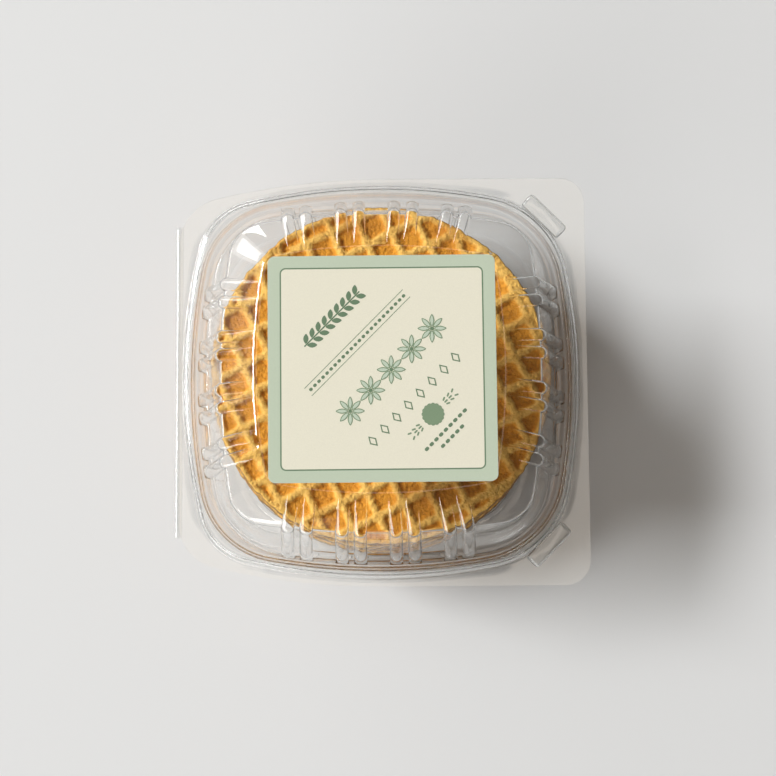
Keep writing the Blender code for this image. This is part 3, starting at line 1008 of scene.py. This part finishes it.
# %% Print on the label
RULE_MIDDLE = 0.0003
SPRIG_ROW, SPRIG_LEAVES, SPRIG_PITCH = 0.0252, 9, 0.0031
RULE_ROWS = (0.0146, 0.0109)
BEAD_ROW, BEADS, BEAD_PITCH = 0.01275, 24, 0.00205
ROSETTE_ROW, ROSETTES, ROSETTE_PITCH = -0.0027, 5, 0.0104
LOZENGE_ROW, LOZENGES, LOZENGE_PITCH = -0.0160, 8, 0.0060
DISC_U, DISC_V = 0.0008, -0.0245
SPRAY_ROWS = ((0.0011, 3), (-0.0011, 3), (0, 2))
DASH_ROWS, DASH_PITCH = ((-0.0316, 9), (-0.0349, 5)), 0.0024


def row(count, pitch, middle=0.0):
    """Places of a row of shapes along the diagonal."""
    return [middle + (i - (count - 1) / 2) * pitch for i in range(count)]


def print_sprig(bm):
    bar(bm, 0, SPRIG_ROW, 0.0280, 0.0005, DARK)
    for u in row(SPRIG_LEAVES, SPRIG_PITCH, 0.0008):
        for side in (1, -1):
            leaf(bm, u, SPRIG_ROW + side * 0.0016, 0.0036, 0.0019, side * 0.75, DARK)


def print_rules(bm):
    for v in RULE_ROWS:
        bar(bm, RULE_MIDDLE, v, 0.050, 0.00022, MOSS)
    for u in row(BEADS, BEAD_PITCH, RULE_MIDDLE):
        bar(bm, u, BEAD_ROW, 0.00135, 0.0011, DARK)


def print_disc(bm):
    """A scalloped disc with a spray of dashes on each side."""
    scalloped_disc(bm, DISC_U, DISC_V, 0.0041, MOSS)
    for side in (1, -1):
        for rise, count in SPRAY_ROWS:
            for i in range(count):
                u = DISC_U + side * (0.0066 + i * 0.0021)
                bar(bm, u, DISC_V + rise, 0.0015, 0.0006, MOSS, side * rise * 400)


def print_mesh():
    bm = bmesh.new()
    print_sprig(bm)
    print_rules(bm)
    for u in row(ROSETTES, ROSETTE_PITCH, 0.0018):
        rosette(bm, u, ROSETTE_ROW, 0.0052)
    for u in row(LOZENGES, LOZENGE_PITCH):
        lozenge(bm, u, LOZENGE_ROW, 0.0030, 0.0048, 0.0004, DARK)
    print_disc(bm)
    for v, count in DASH_ROWS:
        for u in row(count, DASH_PITCH):
            bar(bm, u, v, 0.0017, 0.0012, DARK)
    place_on_label(bm)
    return mesh_from(bm, "label_print", PAPER_SHARP_ANGLE)


add_piece("label_print", print_mesh(), INKS, "lid")

# %% [markdown]
# The table is plain and pale, and takes the tub's soft shadow.

# %% Table
TABLE_HALF = 4.0
TABLE_COLOUR = (0.80, 0.80, 0.795)


def make_table():
    bm = bmesh.new()
    bmesh.ops.create_grid(bm, x_segments=1, y_segments=1, size=TABLE_HALF)
    mesh = mesh_from(bm, "table")
    material, _, shader = new_material("table", TABLE_COLOUR, 0.55)
    shader.inputs["Specular IOR Level"].default_value = 0.2
    mesh.materials.append(material)
    table = bpy.data.objects.new("table", mesh)
    bpy.context.collection.objects.link(table)
    table.location.z = -HAIR
    return table


print("staged:", make_table().name)

# %% [markdown]
# The light is that of a room with one big window on the left: a large soft lamp at about
# thirty-five degrees above the table. Lower strips of window behind and in front draw the bright
# strokes on the flutes, a small bright strip inside a larger dim one gives the soft patch on the
# back left corner, and a pale wall and a far strip light the side in shade. Four dim strips
# overhead, set as a frame, mirror in the flange but not in the lid's flat top.

# %% Lamps
WHITE = (1.0, 1.0, 1.0)
COOL = (0.966, 0.985, 1.0)
WARM = (1.0, 0.90, 0.80)
# Name, azimuth and elevation in degrees, distance, width and height in metres, power in watts.
LAMPS = (("window", 162, 34.8, 10.0, 5.0, 2.0, 1240, COOL),
         ("window_behind", 116.5, 8.5, 6.0, 2.65, 1.16, 60, WHITE),
         ("window_corner", 143, 18.5, 6.1, 3.3, 1.05, 11, WHITE),
         ("window_corner_core", 143, 18.7, 6.0, 2.2, 0.64, 12, WHITE),
         ("window_low", 175, 1.8, 6.0, 4.8, 0.38, 60, WHITE),
         ("window_front", 235, 17, 5.0, 4.1, 1.30, 78, WHITE),
         ("pale_wall", 228, 14, 6.0, 7.9, 3.0, 35, WARM),
         ("far_strip", -35, 2.2, 6.0, 7.0, 0.35, 35, WARM))
CEILING_HEIGHT = 1.29
CEILING_POWER = 2.8
# The overhead frame: x, y, width and depth of each strip.
CEILING_STRIPS = ((-0.25, 0.155, 0.15, 0.76), (0.25, 0.155, 0.15, 0.76),
                  (0, 0.41, 0.35, 0.15), (0, -0.09, 0.35, 0.13))


def new_lamp(name, width, height, power, colour):
    data = bpy.data.lights.new(name, "AREA")
    data.shape = "RECTANGLE"
    data.size, data.size_y = width, height
    data.energy = power
    data.color = colour
    lamp = bpy.data.objects.new(name, data)
    bpy.context.collection.objects.link(lamp)
    return lamp


def add_lamp(name, azimuth, elevation, distance, width, height, power, colour):
    """A lamp that faces the tub, placed by its direction and distance."""
    lamp = new_lamp(name, width, height, power, colour)
    a, e = math.radians(azimuth), math.radians(elevation)
    way = Vector((math.cos(a) * math.cos(e), math.sin(a) * math.cos(e), math.sin(e)))
    lamp.location = way * distance
    lamp.rotation_euler = way.to_track_quat("Z", "Y").to_euler()


for lamp in LAMPS:
    add_lamp(*lamp)
for x, y, width, depth in CEILING_STRIPS:
    strip = new_lamp("ceiling", width, depth, CEILING_POWER * width * depth, WARM)
    strip.location = (x, y, CEILING_HEIGHT)
print("lamps:", len(bpy.data.lights))

# %% [markdown]
# The room itself is a warm, dim sky that is brightest near the horizon. It fills the shadow.

# %% Room
ROOM_COLOUR = (1.0, 0.85, 0.68)
HORIZON = (0.03, 0.12)
ROOM_STRENGTH = (0.70, 0.07)


def make_room():
    """A world whose strength falls as the direction rises through the horizon's span."""
    world = bpy.data.worlds.new("room")
    world.use_nodes = True
    tree = world.node_tree
    sky = tree.nodes["Background"]
    sky.inputs["Color"].default_value = (*ROOM_COLOUR, 1)
    place = tree.nodes.new("ShaderNodeTexCoord")
    axes = tree.nodes.new("ShaderNodeSeparateXYZ")
    band = tree.nodes.new("ShaderNodeMapRange")
    band.inputs["From Min"].default_value, band.inputs["From Max"].default_value = HORIZON
    band.inputs["To Min"].default_value, band.inputs["To Max"].default_value = ROOM_STRENGTH
    tree.links.new(place.outputs["Generated"], axes.inputs["Vector"])
    tree.links.new(axes.outputs["Z"], band.inputs["Value"])
    tree.links.new(band.outputs["Result"], sky.inputs["Strength"])
    return world


scene = bpy.context.scene
scene.world = make_room()
print("world:", scene.world.name)

# %% [markdown]
# The camera looks down at the tub from a little in front of it, through a long lens. Light
# passes many layers of clear sheet, so shadow rays are allowed more of them than usual.

# %% Camera
CAMERA_TILT = math.radians(6.9)
CAMERA_ROLL = math.radians(-0.4)
CAMERA_DISTANCE = 0.72
CAMERA_TARGET = Vector((0.0025, -0.0029, PARTING_Z))
SENSOR_WIDTH = 36
LENS = 89.2

camera_data = bpy.data.cameras.new("camera")
camera_data.sensor_width = SENSOR_WIDTH
camera_data.lens = LENS
camera = bpy.data.objects.new("camera", camera_data)
bpy.context.collection.objects.link(camera)
back = Vector((0, -math.sin(CAMERA_TILT), math.cos(CAMERA_TILT)))
camera.location = CAMERA_TARGET + back * CAMERA_DISTANCE
camera.rotation_euler = (Matrix.Rotation(CAMERA_ROLL, 4, back)
                         @ Matrix.Rotation(CAMERA_TILT, 4, "X")).to_euler()
scene.camera = camera
scene.view_settings.view_transform = "Standard"
scene.cycles.transparent_max_bounces = 32
print("camera", round(CAMERA_DISTANCE, 2), "m away, lens", LENS, "mm")
